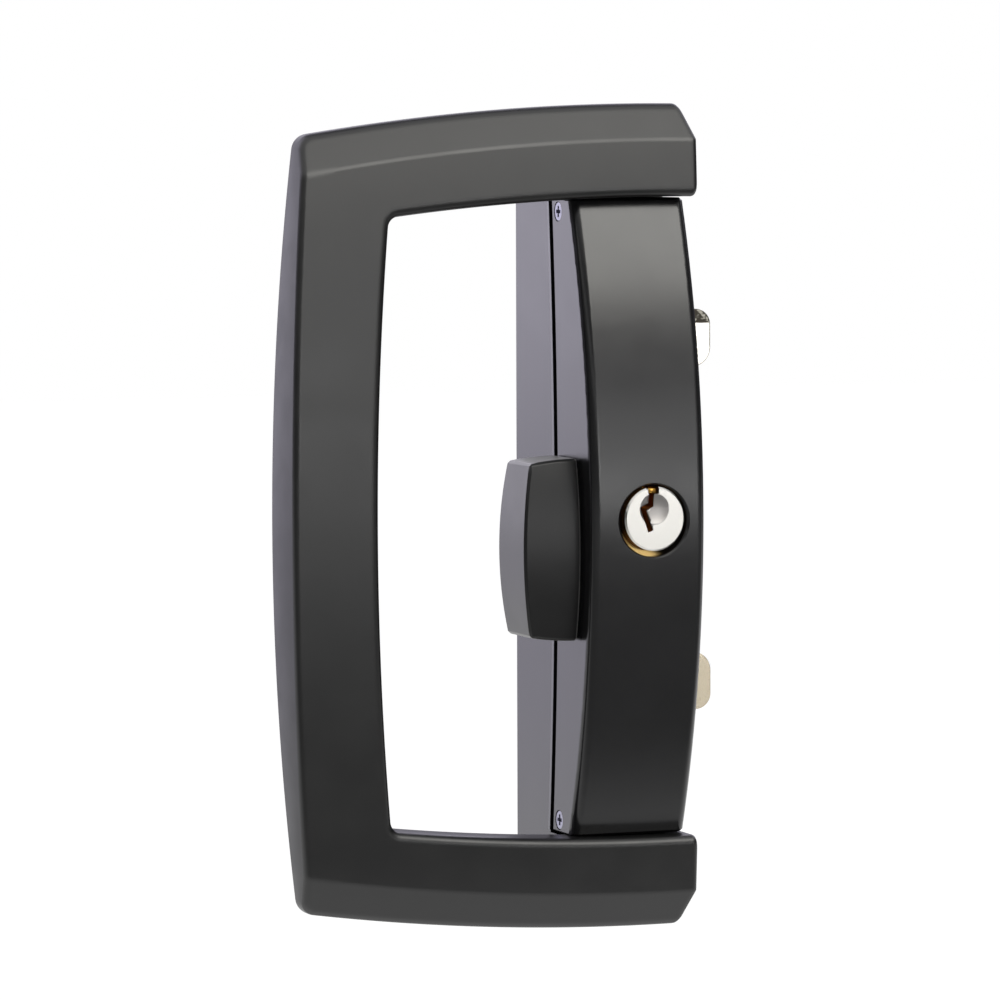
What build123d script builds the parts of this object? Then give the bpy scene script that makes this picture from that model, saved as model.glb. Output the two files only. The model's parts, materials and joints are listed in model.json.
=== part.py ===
from build123d import *
import math
import os

os.makedirs("parts", exist_ok=True)

# Sliding door lock with a D-shaped pull, in millimetres.
# +X points to the hooks, -Y out of the door leaf, +Z up.
# The origin is the middle of the face that lies on the door leaf.
# Depth means the distance in front of that face.

# Lock case
body_width = 25.2
base_height = 163.0
end_block_height = 16.0
end_block_depth = 25.0
rim_depth = 21.8
rim_radius = 780.0
cover_depth = 42.4
cover_radius = 194.0
cover_wall = 2.0
cover_end_wall = 1.0
cover_edge_radius = 2.1
cover_end_chamfer = 0.6
base_wall = 2.0
base_floor = 2.0
base_corner_radius = 1.0
cavity_shoulder = 2.0
end_joint_gap = 0.3
part_gap = 0.3

# Pull handle
handle_overhang = 3.3
handle_depth = 40.4
handle_bow_radius = 466.0
handle_left = 75.7
handle_left_radius = 644.0
opening_left = 57.4
opening_left_radius = 474.0
opening_gap = 0.4
arm_end = 13.75
arm_end_slant = 0.5
arm_stock = 6.0
arm_arc_radius = 493.0
arm_arc_centre = 8.6
bevel_rise = 7.4
bevel_drop = 4.2
bevel_blend = 3.0
end_chamfer_width = 2.45
end_chamfer_height = 7.3
outer_corner_radius = 3.5
inner_corner_radius = 2.4
outer_rim = 1.0
inner_rim = 1.4
back_rim = 1.4

# Fixing posts and handle screws
post_inset = 6.5
post_radius = 4.5
post_stand_off = 0.5
post_clearance = 0.25
post_core_radius = 2.1
post_core_depth = 18.0
handle_screw_x = 8.6
handle_screw_radius = 1.9
handle_screw_head_radius = 3.2
handle_screw_bite = 6.0
handle_screw_sunk = 0.2
screw_fit = 0.05
screw_clearance = 0.3
core_end_room = 0.6

# Mechanism layers, counted from the door face
beak_depth = 9.8
beak_thickness = 5.0
bar_depth = 15.2
bar_thickness = 2.0
keeper_depth = 17.5
keeper_thickness = 1.2

# Hooks
pivot_height = 38.5
pivot_offset = 2.8
pivot_radius = 2.0
pivot_seat = 3.0
pivot_boss_radius = 4.2
running_fit = 0.05
crank_radius = 10.0
snib_travel = 12.0
drive_pin_radius = 1.5
drive_pin_bite = 3.0
drive_pin_top_gap = 0.5
drive_slot_play = 0.3
pivot_slot_play = 0.25
beak_reach = 25.3
beak_tip = 42.0
beak_heel = 29.9
beak_heel_in = 20.2
beak_arm_top = 37.4
beak_arm_bottom = 31.6
beak_throat = 18.5
beak_boss_radius = 5.4
beak_lug_radius = 2.3
beak_nose_radius = 4.0
beak_tip_radius = 3.3
beak_throat_radius = 1.0
window_low = 12.6
window_high = 40.0
window_play = 0.4

# Snib lever
lever_height = 37.3
lever_apex = 25.2
lever_bow_radius = 80.0
lever_end_radius = 60.0
lever_back = 22.0
lever_front = 37.0
lever_front_radius = 82.0
lever_edge = 0.5
lever_gap = 0.2
root_height = 11.0
root_back = 23.2
root_front = 31.2
root_play = 0.2
root_slot_room = 0.7
tab_thickness = 1.8
tab_front = 30.4
tab_seat_gap = 0.05
lever_screw_radius = 1.4
lever_screw_head_radius = 2.4
lever_screw_length = 9.0
lever_screw_pitch = 6.0
lever_screw_depth = 27.2

# Drive bar
bar_width = 20.6
bar_end_land = 3.75
bar_bend_radius = 1.5
cam_window_room = 0.5
cam_stop_play = 0.35

# Cylinder
cylinder_x = 1.0
plug_z = 0.45
barrel_radius = 8.0
barrel_back = 20.4
shoulder_radius = 9.2
shoulder_drop = 4.4
shoulder_thickness = 1.9
tower_width = 8.4
tower_height = 17.0
tower_back = 20.8
tower_drop = 0.2
tower_corner_radius = 1.5
plug_radius = 6.55
plug_fit = 0.07
plug_proud = 0.5
plug_back = 19.6
plug_rim = 0.35
tail_size = 3.6
tail_fit = 0.05
pin_pitch = 3.2
pin_end_land = 2.1
pin_radius = 1.25
pin_fit = 0.04
chamber_top = 15.6
shear_drop = 0.2
key_pin_root = 2.6
driver_pin_length = 3.0
spring_wall = 0.36
spring_sides = 8
dish_radius = 3.3
dish_depth = 0.6
dish_rise = 1.95
dish_shift = 0.15
keyway_width = 1.2
keyway_x = 0.25
keyway_top = 6.6
keyway_knee = 3.3
keyway_step_x = 1.5
keyway_step_z = 2.5
keyway_foot_z = 2.1
keyway_head_width = 2.4
keyway_head_height = 1.5
bore_radius = 7.35
bore_rim = 0.55

# Cam behind the cylinder
cam_radius = 5.2
cam_flat = 2.0
cam_flat_play = 0.2
cam_notch_play = 0.3
cam_hub_radius = 4.0
cam_back_drop = 0.2
cam_front_room = 0.3
cam_screw_radius = 1.2
cam_screw_head_radius = 2.4
cam_screw_head_height = 1.6
cam_screw_length = 6.0

# Cylinder retainer and small screws
retainer_thickness = 1.5
retainer_width = 18.6
retainer_bottom = 14.5
retainer_top = 4.0
retainer_fit = 0.1
retainer_screw_x = 6.6
retainer_screw_z = 11.6
retainer_post_radius = 2.4
retainer_screw_bite = 2.0
small_screw_radius = 1.25
small_head_radius = 2.3
small_head_height = 1.5
keeper_screw_bite = 5.0
cross_length_share = 1.2
cross_width = 0.7
cross_depth = 0.9

# Keeper plate and cover screws
keeper_width = 20.6
keeper_inset = 7.5
keeper_tongue_width = 10.0
keeper_tongue_inset = 3.0
keeper_hub_play = 1.0
keeper_slot_room = 0.3
keeper_boss_x = 3.0
keeper_boss_inset = 5.6
keeper_boss_radius = 2.6
cover_screw_drop = 2.8
cover_screw_inset = 2.8
cover_screw_head_radius = 1.9
cover_screw_head_height = 1.1
cover_screw_radius = 1.0
cover_screw_bite = 5.15
cover_screw_recess = 0.1
cover_screw_play = 0.15
cover_lug_width = 6.0
cover_lug_height = 3.4
cover_lug_room = 2.64

# Friction spring under the drive bar
leaf_x = 7.2
leaf_width = 4.0
leaf_length = 24.0
leaf_foot = 2.0
leaf_thickness = 0.4
leaf_rise = 3.6
leaf_gap = 0.05
pedestal_length = 3.0
pedestal_width = 4.6

cover_height = base_height - 2 * end_block_height
base_cavity_height = cover_height - 2 * cavity_shoulder
handle_height = base_height + 2 * handle_overhang
opening_height = cover_height + 2 * opening_gap
post_spacing = base_height - 2 * post_inset
half_body = body_width / 2
half_travel = snib_travel / 2
inner_half = half_body - cover_wall
cover_half = cover_height / 2
cavity_half = cover_half - cover_end_wall
block_start = cover_half + end_joint_gap
keeper_height = cover_height - 2 * keeper_inset
keeper_tongue_end = cover_half - keeper_tongue_inset
keeper_boss_z = cover_half - keeper_boss_inset
cover_screw_z = cover_half - cover_screw_inset
shoulder_depth = cover_depth - shoulder_drop
barrel_front = shoulder_depth + shoulder_thickness
tower_front = shoulder_depth - tower_drop
plug_front = cover_depth + plug_proud
pin_first = tower_back + pin_end_land
pin_room = tower_front - pin_end_land - pin_first
pin_count = 1 + math.floor(round(pin_room / pin_pitch, 2))
swing = 2 * math.degrees(math.asin(half_travel / crank_radius))
crank_reach = crank_radius * math.cos(math.radians(swing / 2))
bar_middle = -half_travel
shear_z = plug_z + plug_radius


def front_plane(depth=0.0):
    """Sketch plane parallel to the door, this far in front of it."""
    return Plane.XZ.offset(depth)


def back_plane(depth=0.0):
    """The same plane seen from the door: local x is Z and local y is X."""
    return Plane.ZX.offset(-depth)


def side_plane(x=0.0):
    """Sketch plane across the lock, seen from the left: local x is depth, y is Z."""
    return Plane(origin=(x, 0, 0), x_dir=(0, -1, 0), z_dir=(-1, 0, 0))


def inner_side_plane(x=0.0):
    """Sketch plane across the lock, seen from the right: local x is -depth, y is Z."""
    return Plane.YZ.offset(x)


def save(builder, label):
    """Labels one finished piece and writes its file."""
    builder.part.label = label
    export_step(builder.part, f"parts/{label}.step")


def arc_depth(radius, top, z):
    """Depth of a bowed line whose highest point is at mid height."""
    return top - radius + math.sqrt(radius**2 - z**2)


def both_ends(x, z):
    """The same place near the top and near the bottom."""
    return ((x, z), (x, -z))


# Pull handle: one casting, two arms and a bowed bar
arm_arc_z = handle_height / 2 - arm_arc_radius
opening_arc_z = opening_height / 2 - arm_arc_radius
bevel_start = handle_height / 2 - bevel_rise
bevel_top = arc_depth(handle_bow_radius, handle_depth, bevel_start)
bevel_in = (bevel_top + bevel_drop, bevel_start - bevel_rise)
bevel_out = (bevel_top - 2 * bevel_drop, bevel_start + 2 * bevel_rise)
arm_middle = (handle_height + opening_height) / 4
bar_centre = -(handle_left + opening_left) / 2
post_places = both_ends(0, post_spacing / 2)


def handle_rims(inside, back):
    """Long edges round the outline of the handle, or round its opening."""
    walls = pull_handle.faces().filter_by(lambda face: abs(face.normal_at().Y) < 0.03)
    rims = walls.edges().filter_by(Axis.Y, reverse=True)
    rims = rims.filter_by_position(Axis.X, -handle_left, arm_end)
    at_back = -end_block_depth - back_rim
    if back:
        rims = rims.filter_by_position(Axis.Y, at_back, 0)
    else:
        rims = rims.filter_by_position(Axis.Y, -handle_depth, at_back)

    def lies_inside(edge):
        middle = edge @ 0.5
        return (abs(middle.Z) < arm_middle and middle.X > bar_centre) == inside

    return rims.filter_by(lies_inside)


with BuildPart() as pull_handle:
    with BuildSketch(front_plane(end_block_depth)) as handle_outline:
        with Locations((arm_end + arm_stock, 0)):
            Rectangle(2 * handle_left, handle_height, align=(Align.MAX, Align.CENTER))
        for side in (1, -1):
            with Locations((arm_arc_centre, side * arm_arc_z)):
                Circle(arm_arc_radius, mode=Mode.INTERSECT)
        with Locations((handle_left_radius - handle_left, 0)):
            Circle(handle_left_radius, mode=Mode.INTERSECT)
        handle_corners = handle_outline.vertices().group_by(Axis.X)[0]
        fillet(handle_corners, outer_corner_radius)
    extrude(amount=handle_depth - end_block_depth)
    with BuildSketch(front_plane(end_block_depth)) as handle_opening:
        Rectangle(4 * opening_left, opening_height)
        for side in (1, -1):
            with Locations((arm_arc_centre, side * opening_arc_z)):
                Circle(arm_arc_radius, mode=Mode.INTERSECT)
        with Locations((opening_left_radius - opening_left, 0)):
            Circle(opening_left_radius, mode=Mode.INTERSECT)
        opening_corners = handle_opening.vertices().group_by(Axis.X)[0]
        fillet(opening_corners, inner_corner_radius)
    extrude(amount=handle_depth - end_block_depth, mode=Mode.SUBTRACT)
    with BuildSketch(side_plane(arm_end + arm_stock)):
        with Locations((handle_depth - handle_bow_radius, 0)):
            Circle(handle_bow_radius)
    extrude(amount=arm_end + arm_stock + handle_left, mode=Mode.INTERSECT)
    for side in (1, -1):
        with BuildSketch(side_plane(arm_arc_centre)):
            with BuildLine():
                Polyline(
                    (bevel_in[0], side * bevel_in[1]),
                    (bevel_out[0], side * bevel_out[1]),
                    (handle_depth, side * bevel_out[1]),
                    (handle_depth, side * bevel_in[1]),
                    close=True,
                )
            make_face()
        bevel_axis = Axis((arm_arc_centre, 0, side * arm_arc_z), (0, 1, 0))
        revolve(axis=bevel_axis, mode=Mode.SUBTRACT)
    bow_edges = pull_handle.faces().sort_by(Axis.Y)[0].edges()
    bevel_edges = pull_handle.faces().filter_by(GeomType.CONE).edges()
    fillet(bow_edges.filter_by(lambda edge: edge in bevel_edges), bevel_blend)
    chamfer(handle_rims(inside=False, back=False), outer_rim)
    chamfer(handle_rims(inside=True, back=False), inner_rim)
    chamfer(handle_rims(inside=False, back=True), back_rim)
    chamfer(handle_rims(inside=True, back=True), back_rim)
    with BuildSketch(front_plane(end_block_depth)):
        with BuildLine():
            cut_edge = arm_end + 2 * arm_stock
            Polyline(
                (arm_end + arm_end_slant - end_chamfer_width, handle_height),
                (arm_end + arm_end_slant - end_chamfer_width, handle_height / 2),
                (arm_end + arm_end_slant, handle_height / 2 - end_chamfer_height),
                (arm_end, opening_height / 2),
                (arm_end, -opening_height / 2),
                (arm_end + arm_end_slant, end_chamfer_height - handle_height / 2),
                (arm_end + arm_end_slant - end_chamfer_width, -handle_height / 2),
                (arm_end + arm_end_slant - end_chamfer_width, -handle_height),
                (cut_edge, -handle_height),
                (cut_edge, handle_height),
                close=True,
            )
        make_face()
    extrude(amount=handle_depth - end_block_depth, mode=Mode.SUBTRACT)
    with BuildSketch(front_plane(post_stand_off)):
        with Locations(*post_places):
            Circle(post_radius)
    extrude(amount=end_block_depth - post_stand_off)
    with BuildSketch(front_plane(post_stand_off)):
        with Locations(*post_places):
            Circle(post_core_radius)
    extrude(amount=post_core_depth, mode=Mode.SUBTRACT)
    with BuildSketch(front_plane(end_block_depth)):
        with Locations(*both_ends(-handle_screw_x, post_spacing / 2)):
            Circle(handle_screw_radius + screw_fit)
    extrude(amount=handle_screw_bite + core_end_room, mode=Mode.SUBTRACT)
save(pull_handle, "pull_handle")

# Base housing: a tray with a block at each end that carries the handle
rim_end = arc_depth(rim_radius, rim_depth, block_start)
beak_floor = beak_depth - part_gap
lug_z = cavity_half - part_gap - cover_lug_height / 2
lug_x = -inner_half + part_gap + cover_lug_width / 2
inner_radius = cover_radius - cover_wall
inner_front = cover_depth - cover_wall
inner_front_end = arc_depth(inner_radius, inner_front, cavity_half)
cover_lug_front = inner_front_end - cover_lug_room
cover_screw_depth = cover_lug_front - cover_screw_drop
leaf_seat = bar_depth - leaf_gap - leaf_rise - leaf_thickness
window_depth = beak_depth + beak_thickness / 2
pivot_places = ((pivot_offset, pivot_height), (-pivot_offset, -pivot_height))

with BuildPart() as base_housing:
    with BuildSketch(side_plane(half_body)):
        with BuildLine():
            Polyline(
                (rim_end, -block_start),
                (end_block_depth, -block_start),
                (end_block_depth, -base_height / 2),
                (0, -base_height / 2),
                (0, base_height / 2),
                (end_block_depth, base_height / 2),
                (end_block_depth, block_start),
                (rim_end, block_start),
            )
            ThreePointArc((rim_end, -block_start), (rim_depth, 0), (rim_end, block_start))
        make_face()
    extrude(amount=body_width)
    long_edges = base_housing.edges().filter_by(Axis.Y)
    fillet(long_edges.group_by(Axis.Z)[0] + long_edges.group_by(Axis.Z)[-1], base_corner_radius)
    with BuildSketch(front_plane(base_floor)):
        Rectangle(body_width - 2 * base_wall, base_cavity_height)
    extrude(amount=end_block_depth - base_floor, mode=Mode.SUBTRACT)
    with BuildSketch(front_plane(base_floor)):
        with Locations(*both_ends(lug_x, lug_z)):
            Rectangle(cover_lug_width, cover_lug_height)
    extrude(amount=cover_lug_front - base_floor)
    with BuildSketch(front_plane(base_floor)):
        with Locations(*both_ends(keeper_boss_x, keeper_boss_z)):
            Circle(keeper_boss_radius)
    extrude(amount=keeper_depth - base_floor)
    with BuildSketch(front_plane(base_floor)):
        with Locations(*pivot_places):
            Circle(pivot_boss_radius)
    extrude(amount=beak_floor - base_floor)
    with BuildSketch(front_plane(base_floor)):
        with Locations(*both_ends(-leaf_x, (leaf_length - leaf_foot) / 2)):
            Rectangle(pedestal_width, pedestal_length)
    extrude(amount=leaf_seat - base_floor)
    with BuildSketch(side_plane(half_body)):
        with Locations(*both_ends(window_depth, (window_low + window_high) / 2)):
            Rectangle(beak_thickness + 2 * window_play, window_high - window_low)
    extrude(amount=base_wall, mode=Mode.SUBTRACT)
    with BuildSketch(front_plane(beak_floor)):
        with Locations(*pivot_places):
            Circle(pivot_radius + running_fit)
    extrude(amount=-pivot_seat, mode=Mode.SUBTRACT)
    with BuildSketch(front_plane(keeper_depth)):
        with Locations(*both_ends(keeper_boss_x, keeper_boss_z)):
            Circle(small_screw_radius + screw_fit)
    extrude(amount=-keeper_screw_bite - core_end_room, mode=Mode.SUBTRACT)
    with BuildSketch(side_plane(lug_x - cover_lug_width / 2)):
        with Locations(*both_ends(cover_screw_depth, cover_screw_z)):
            Circle(cover_screw_radius + screw_fit)
    extrude(amount=-cover_screw_bite, mode=Mode.SUBTRACT)
    with BuildSketch(front_plane()):
        with Locations(*post_places):
            Circle(post_radius + post_clearance)
    extrude(amount=end_block_depth, mode=Mode.SUBTRACT)
    with Locations(back_plane()):
        with Locations((post_spacing / 2, -handle_screw_x), (-post_spacing / 2, -handle_screw_x)):
            CounterSinkHole(
                radius=handle_screw_radius + screw_clearance,
                counter_sink_radius=handle_screw_head_radius,
                depth=end_block_depth,
                counter_sink_angle=90,
            )
save(base_housing, "base_housing")

# Keeper plate: holds the hooks and the drive bar in the tray
hub_centre = (cylinder_x, plug_z)
tab_half = root_height / 2 + half_travel

with BuildPart() as keeper_plate:
    with BuildSketch(front_plane(keeper_depth)):
        Rectangle(keeper_width, keeper_height)
        with Locations((keeper_boss_x, 0)):
            Rectangle(keeper_tongue_width, 2 * keeper_tongue_end)
        with Locations((-keeper_width / 2, 0)):
            notch = 2 * (tab_thickness + keeper_slot_room)
            Rectangle(notch, 2 * (tab_half + keeper_slot_room + root_play), mode=Mode.SUBTRACT)
        with Locations(hub_centre):
            Circle(cam_radius + keeper_hub_play, mode=Mode.SUBTRACT)
        with Locations(*pivot_places):
            Circle(pivot_radius + running_fit, mode=Mode.SUBTRACT)
        with Locations(*both_ends(keeper_boss_x, keeper_boss_z)):
            Circle(small_screw_radius + screw_clearance, mode=Mode.SUBTRACT)
    extrude(amount=keeper_thickness)
save(keeper_plate, "keeper_plate")

# Front cover: a bowed box with a bore for the cylinder
cover_rim_end = arc_depth(rim_radius, rim_depth, cover_half)
cover_front_end = arc_depth(cover_radius, cover_depth, cover_half)
slot_front = root_front + root_slot_room
retainer_posts = (
    (cylinder_x - retainer_screw_x, -retainer_screw_z),
    (cylinder_x + retainer_screw_x, -retainer_screw_z),
)

with BuildPart() as front_cover:
    with BuildSketch(side_plane(half_body)):
        with BuildLine():
            ThreePointArc((cover_rim_end, -cover_half), (rim_depth, 0), (cover_rim_end, cover_half))
            Line((cover_rim_end, cover_half), (cover_front_end, cover_half))
            ThreePointArc((cover_front_end, cover_half), (cover_depth, 0), (cover_front_end, -cover_half))
            Line((cover_front_end, -cover_half), (cover_rim_end, -cover_half))
        make_face()
    extrude(amount=body_width)
    fillet(front_cover.edges().filter_by(GeomType.CIRCLE).group_by(Axis.Y)[0], cover_edge_radius)
    end_edges = front_cover.edges().filter_by(Axis.X).group_by(Axis.Y)[0]
    chamfer(end_edges, cover_end_chamfer)
    with BuildSketch(side_plane(inner_half)):
        with BuildLine():
            ThreePointArc(
                (inner_front_end, -cavity_half), (inner_front, 0), (inner_front_end, cavity_half)
            )
            Polyline(
                (inner_front_end, cavity_half),
                (base_floor, cavity_half),
                (base_floor, -cavity_half),
                (inner_front_end, -cavity_half),
            )
        make_face()
    extrude(amount=2 * inner_half, mode=Mode.SUBTRACT)
    with BuildSketch(front_plane(shoulder_depth)):
        with Locations((cylinder_x, 0)):
            Circle(bore_radius)
    extrude(amount=cover_depth - shoulder_depth, mode=Mode.SUBTRACT)
    with Locations(front_plane(cover_depth)):
        with Locations((cylinder_x, 0)):
            Cone(
                bottom_radius=bore_radius,
                top_radius=bore_radius + bore_rim,
                height=bore_rim,
                align=(Align.CENTER, Align.CENTER, Align.MAX),
                mode=Mode.SUBTRACT,
            )
    with BuildSketch(side_plane(-inner_half)):
        with Locations((slot_front, 0)):
            Rectangle(slot_front - base_floor, 2 * (tab_half + root_play), align=(Align.MAX, Align.CENTER))
    extrude(amount=cover_wall, mode=Mode.SUBTRACT)
    with BuildSketch(front_plane(shoulder_depth)):
        with Locations(*retainer_posts):
            Circle(retainer_post_radius)
    extrude(amount=cover_depth - cover_wall / 2 - shoulder_depth)
    with BuildSketch(front_plane(shoulder_depth)):
        with Locations(*retainer_posts):
            Circle(small_screw_radius + screw_fit)
    extrude(amount=retainer_screw_bite + screw_clearance, mode=Mode.SUBTRACT)
    with Locations(side_plane(-half_body)):
        with Locations(*both_ends(cover_screw_depth, cover_screw_z)):
            CounterBoreHole(
                radius=cover_screw_radius + screw_clearance,
                counter_bore_radius=cover_screw_head_radius + cover_screw_play,
                counter_bore_depth=cover_screw_recess + cover_screw_head_height,
                depth=cover_wall,
            )
save(front_cover, "front_cover")

# Hooks: each turns on a fixed pin and is driven by a pin in a slot of the drive bar
beak_top = beak_depth + beak_thickness
drive_pin_top = keeper_depth - drive_pin_top_gap


def make_beak(side):
    """Hook with its crank arm; side is 1 for the upper hook and -1 for the lower one."""
    pivot = (side * pivot_offset, side * pivot_height)
    crank_pin = (side * (pivot_offset - crank_reach), side * pivot_height - half_travel)
    with BuildPart() as beak:
        with BuildSketch(front_plane(beak_depth)):
            with Locations(pivot):
                Circle(beak_boss_radius)
            with Locations(crank_pin):
                Circle(beak_lug_radius)
            make_hull()
            with BuildLine():
                Polyline(
                    (side * pivot_offset, side * beak_arm_bottom),
                    (beak_throat, side * beak_arm_bottom),
                    (beak_heel_in, side * beak_heel),
                    (beak_reach, side * beak_heel),
                    (beak_reach, side * beak_tip),
                    (beak_throat, side * beak_tip),
                    (beak_throat, side * beak_arm_top),
                    (side * pivot_offset, side * beak_arm_top),
                    close=True,
                )
            make_face()
        extrude(amount=beak_thickness)
        nose = beak.edges().filter_by(Axis.Y).group_by(Axis.X)[-1]
        nose = nose.sort_by(lambda edge: side * edge.center().Z)
        fillet(nose[0], beak_nose_radius)
        fillet(nose[1], beak_tip_radius)
        corners = beak.edges().filter_by(Axis.Y).filter_by_position(Axis.X, beak_throat - 0.1, beak_throat + 0.1)
        throat = corners.sort_by(lambda edge: side * edge.center().Z)[1]
        fillet(throat, beak_throat_radius)
        with BuildSketch(front_plane(beak_depth)):
            with Locations(pivot):
                Circle(pivot_radius + running_fit)
        extrude(amount=beak_thickness, mode=Mode.SUBTRACT)
        with BuildSketch(front_plane(beak_top)):
            with Locations(crank_pin):
                Circle(drive_pin_radius + running_fit)
        extrude(amount=-drive_pin_bite, mode=Mode.SUBTRACT)
    with BuildPart() as drive_pin:
        with BuildSketch(front_plane(beak_top - drive_pin_bite)):
            with Locations(crank_pin):
                Circle(drive_pin_radius)
        extrude(amount=drive_pin_top - beak_top + drive_pin_bite)
    with BuildPart() as pivot_pin:
        with BuildSketch(front_plane(beak_floor - pivot_seat)):
            with Locations(pivot):
                Circle(pivot_radius)
        extrude(amount=keeper_depth + keeper_thickness - beak_floor + pivot_seat)
    return beak, drive_pin, pivot_pin


for side, place in ((1, "upper"), (-1, "lower")):
    beak, drive_pin, pivot_pin = make_beak(side)
    save(beak, f"{place}_beak")
    save(drive_pin, f"{place}_drive_pin")
    save(pivot_pin, f"{place}_beak_pivot")

# Drive bar: a flat plate with slots and a tab bent up towards the lever
bar_half = pivot_height + half_travel + pivot_radius + pivot_slot_play + bar_end_land
pin_slot_x = (crank_reach + crank_radius) / 2 - pivot_offset
window_left = cylinder_x - cam_flat - cam_flat_play
window_right = cylinder_x + cam_radius + cam_window_room
window_half = half_travel + cam_radius + cam_stop_play
lever_screw_places = both_ends(lever_screw_depth, lever_screw_pitch / 2)

with BuildPart() as drive_bar:
    with BuildSketch(front_plane(bar_depth)):
        with Locations((0, bar_middle)):
            Rectangle(bar_width, 2 * bar_half)
        for side in (1, -1):
            with Locations((side * pivot_offset, bar_middle + side * pivot_height)):
                slot_width = 2 * (pivot_radius + pivot_slot_play)
                SlotCenterToCenter(snib_travel, slot_width, rotation=90, mode=Mode.SUBTRACT)
            with Locations((-side * pin_slot_x, bar_middle + side * pivot_height)):
                slot_width = 2 * (drive_pin_radius + drive_slot_play)
                SlotCenterToCenter(crank_radius - crank_reach, slot_width, mode=Mode.SUBTRACT)
        with Locations((window_left, bar_middle + plug_z)):
            window_align = (Align.MIN, Align.CENTER)
            window_width = window_right - window_left
            Rectangle(window_width, 2 * window_half, align=window_align, mode=Mode.SUBTRACT)
        with Locations(hub_centre, (cylinder_x, plug_z - snib_travel)):
            Circle(cam_radius + cam_notch_play, mode=Mode.SUBTRACT)
    extrude(amount=bar_thickness)
    with BuildSketch(front_plane(bar_depth)):
        with Locations((-bar_width / 2, bar_middle)):
            Rectangle(tab_thickness, root_height, align=(Align.MIN, Align.CENTER))
    extrude(amount=tab_front - bar_depth)
    with Locations(inner_side_plane(tab_thickness - bar_width / 2)):
        with Locations(*[(-depth, bar_middle + z) for depth, z in lever_screw_places]):
            CounterSinkHole(
                radius=lever_screw_radius + screw_fit,
                counter_sink_radius=lever_screw_head_radius + screw_fit,
                depth=tab_thickness,
                counter_sink_angle=90,
            )
save(drive_bar, "drive_bar")

# Snib lever: a bowed paddle on a short root that passes through the cover
lever_inner = half_body + lever_gap
root_inner = bar_width / 2 + tab_seat_gap
lever_mid_x = (lever_inner + lever_apex) / 2

with BuildPart() as snib_lever:
    with BuildSketch(front_plane(lever_back)):
        with Locations((-lever_mid_x, bar_middle)):
            Rectangle(lever_apex - lever_inner, lever_height)
        with Locations((lever_bow_radius - lever_apex, bar_middle)):
            Circle(lever_bow_radius, mode=Mode.INTERSECT)
        for side in (1, -1):
            end_centre = bar_middle + side * (lever_height / 2 - lever_end_radius)
            with Locations((-lever_inner, end_centre)):
                Circle(lever_end_radius, mode=Mode.INTERSECT)
    extrude(amount=lever_front - lever_back)
    with BuildSketch(side_plane(-lever_inner)):
        with Locations((lever_front - lever_front_radius, bar_middle)):
            Circle(lever_front_radius)
    extrude(amount=lever_apex - lever_inner, mode=Mode.INTERSECT)
    chamfer(snib_lever.edges(), lever_edge)
    with BuildSketch(side_plane(-root_inner)):
        with Locations(((root_back + root_front) / 2, bar_middle)):
            Rectangle(root_front - root_back, root_height)
    extrude(amount=lever_inner - root_inner + lever_edge)
    with BuildSketch(side_plane(-root_inner)):
        with Locations(*[(depth, bar_middle + z) for depth, z in lever_screw_places]):
            Circle(lever_screw_radius + screw_fit)
    extrude(amount=lever_screw_length - tab_thickness + core_end_room, mode=Mode.SUBTRACT)
save(snib_lever, "snib_lever")

# Cylinder body: barrel with a shoulder and a tower for the pins
pin_depths = [pin_first + pin_pitch * number for number in range(pin_count)]
barrel_centre = (cylinder_x, 0)

with BuildPart() as cylinder_body:
    with BuildSketch(front_plane(barrel_back)):
        with Locations(barrel_centre):
            Circle(barrel_radius)
    extrude(amount=barrel_front - barrel_back)
    with BuildSketch(front_plane(shoulder_depth)):
        with Locations(barrel_centre):
            Circle(shoulder_radius)
    extrude(amount=shoulder_thickness)
    with BuildSketch(front_plane(tower_back)):
        with Locations(barrel_centre):
            Rectangle(tower_width, tower_height, align=(Align.CENTER, Align.MIN))
    extrude(amount=tower_front - tower_back)
    tower_top = cylinder_body.edges().filter_by(Axis.Y).group_by(Axis.Z)[-1]
    fillet(tower_top, tower_corner_radius)
    with BuildSketch(front_plane(barrel_back)):
        with Locations(hub_centre):
            Circle(plug_radius + plug_fit)
    extrude(amount=barrel_front - barrel_back, mode=Mode.SUBTRACT)
    with BuildSketch(Plane.XY.offset(plug_z)):
        with Locations(*[(cylinder_x, -depth) for depth in pin_depths]):
            Circle(pin_radius + pin_fit)
    extrude(amount=chamber_top - plug_z, mode=Mode.SUBTRACT)
save(cylinder_body, "cylinder_body")

# Key plug: turns in the barrel, with a keyway, a dished front and a square tail
cam_back = bar_depth - cam_back_drop
cam_thickness = cam_back_drop + bar_thickness + cam_front_room
dish_sphere = (dish_radius**2 + dish_depth**2) / (2 * dish_depth)
dish_place = (cylinder_x - dish_shift, dish_depth - plug_front - dish_sphere, plug_z + dish_rise)

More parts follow.
